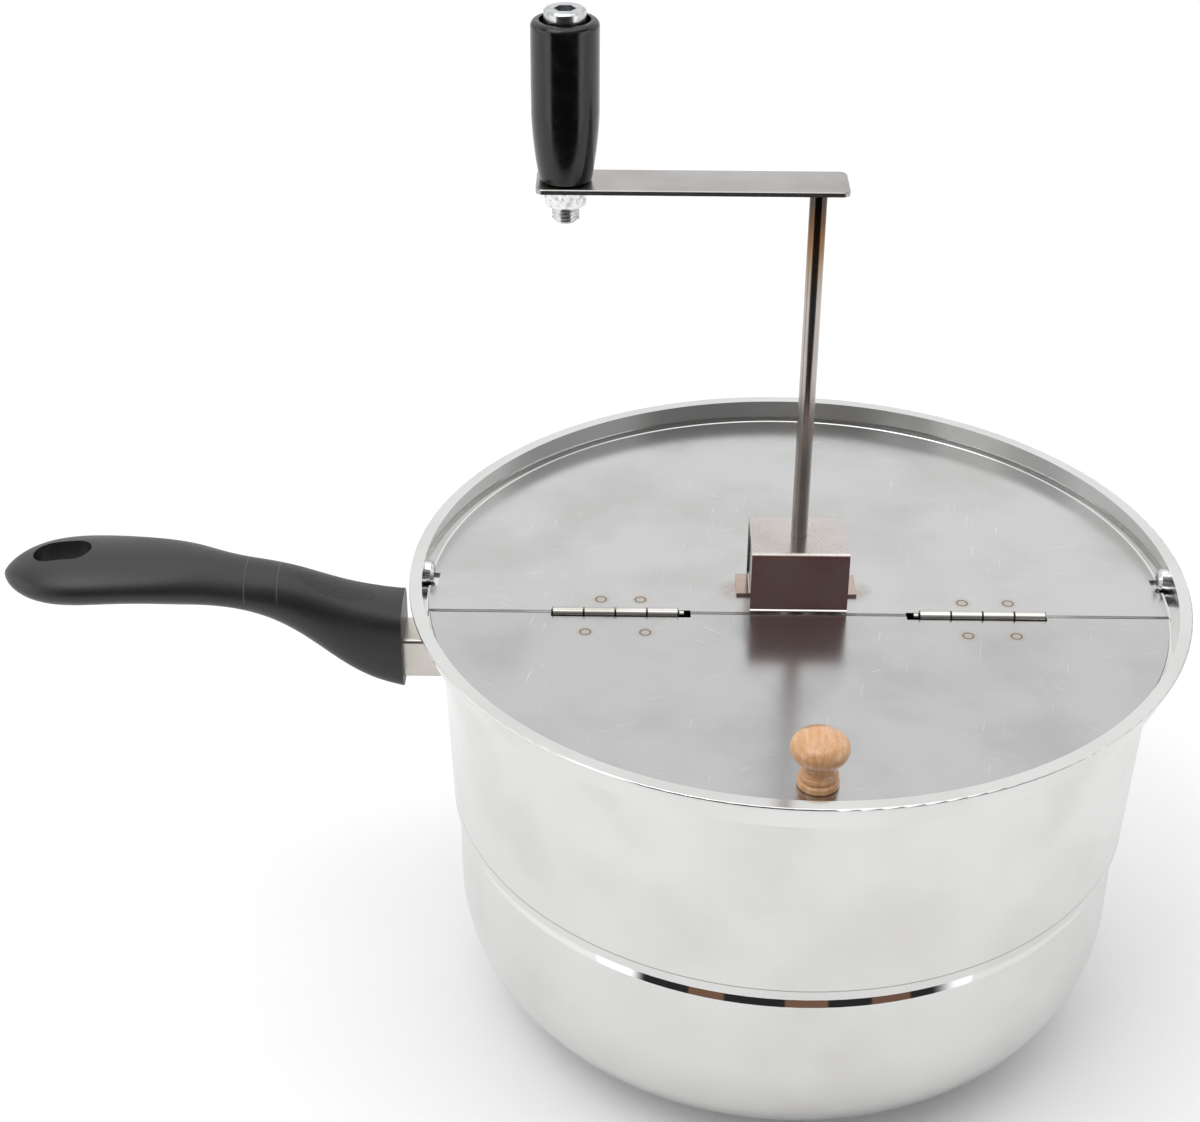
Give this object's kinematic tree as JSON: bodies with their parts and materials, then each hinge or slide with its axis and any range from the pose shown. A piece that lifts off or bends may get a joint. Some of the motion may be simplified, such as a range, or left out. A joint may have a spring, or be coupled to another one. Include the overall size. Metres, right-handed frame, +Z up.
{
  "type": "stovetop popcorn popper",
  "caption": "Deep stainless pot with a long moulded handle, a flat lid with a hinged flap, and a hand crank that turns stirring blades over the pot's floor.",
  "frame": {"origin": "centre of the pot's flat base, on the hob", "axes": "+Z up along the crank's shaft, -X towards the tip of the handle, -Y towards the hinged flap"},
  "size_m": [0.4092, 0.268, 0.3671],
  "materials": {
    "pot": "fine satin",
    "lid": "mill finish sheet",
    "bracket": "bright",
    "crank": "satin with heat tint at the welds",
    "fastener": "bright plated",
    "stirrer": "satin",
    "handle": "matte moulded",
    "grip": "glossy",
    "wood": "varnished beech"
  },
  "bodies": {
    "pot": {"pot_body": "pot", "handle_bracket": "bracket", "handle_grip": "handle", "handle_screw": "fastener", "rear_lid": "lid", "lid_screws": "fastener", "lid_washers": "fastener", "lid_nuts": "fastener", "shaft_bracket": "bracket", "rear_leaf_left": "lid", "rear_leaf_right": "lid", "hinge_pins": "crank"},
    "flap": {"front_flap": "lid", "front_leaf_left": "lid", "front_leaf_right": "lid", "knob": "wood", "knob_screw": "fastener", "knob_washer": "fastener"},
    "crank": {"crank_shaft": "crank", "crank_arm": "crank", "shaft_collar": "fastener", "collar_screw": "fastener", "grip_bolt": "fastener", "grip_nut": "fastener", "stirrer_hub": "stirrer", "stirrer_screw": "fastener", "blade_left": "stirrer", "blade_right": "stirrer"},
    "grip": {"crank_grip": "grip"}
  },
  "joints": [
    {"name": "crank_turn", "type": "hinge", "parent": "pot", "child": "crank", "pos_m": [0, 0, 0.2], "axis": [0, 0, 1], "continuous": true},
    {"name": "grip_spin", "type": "hinge", "parent": "crank", "child": "grip", "pos_m": [-0.0795, 0, 0.3378], "axis": [0, 0, 1], "continuous": true},
    {"name": "flap_hinge", "type": "hinge", "parent": "pot", "child": "flap", "pos_m": [0, -0.0153, 0.1614], "axis": [-1, 0, 0], "range_deg": [0, 84]}
  ]
}
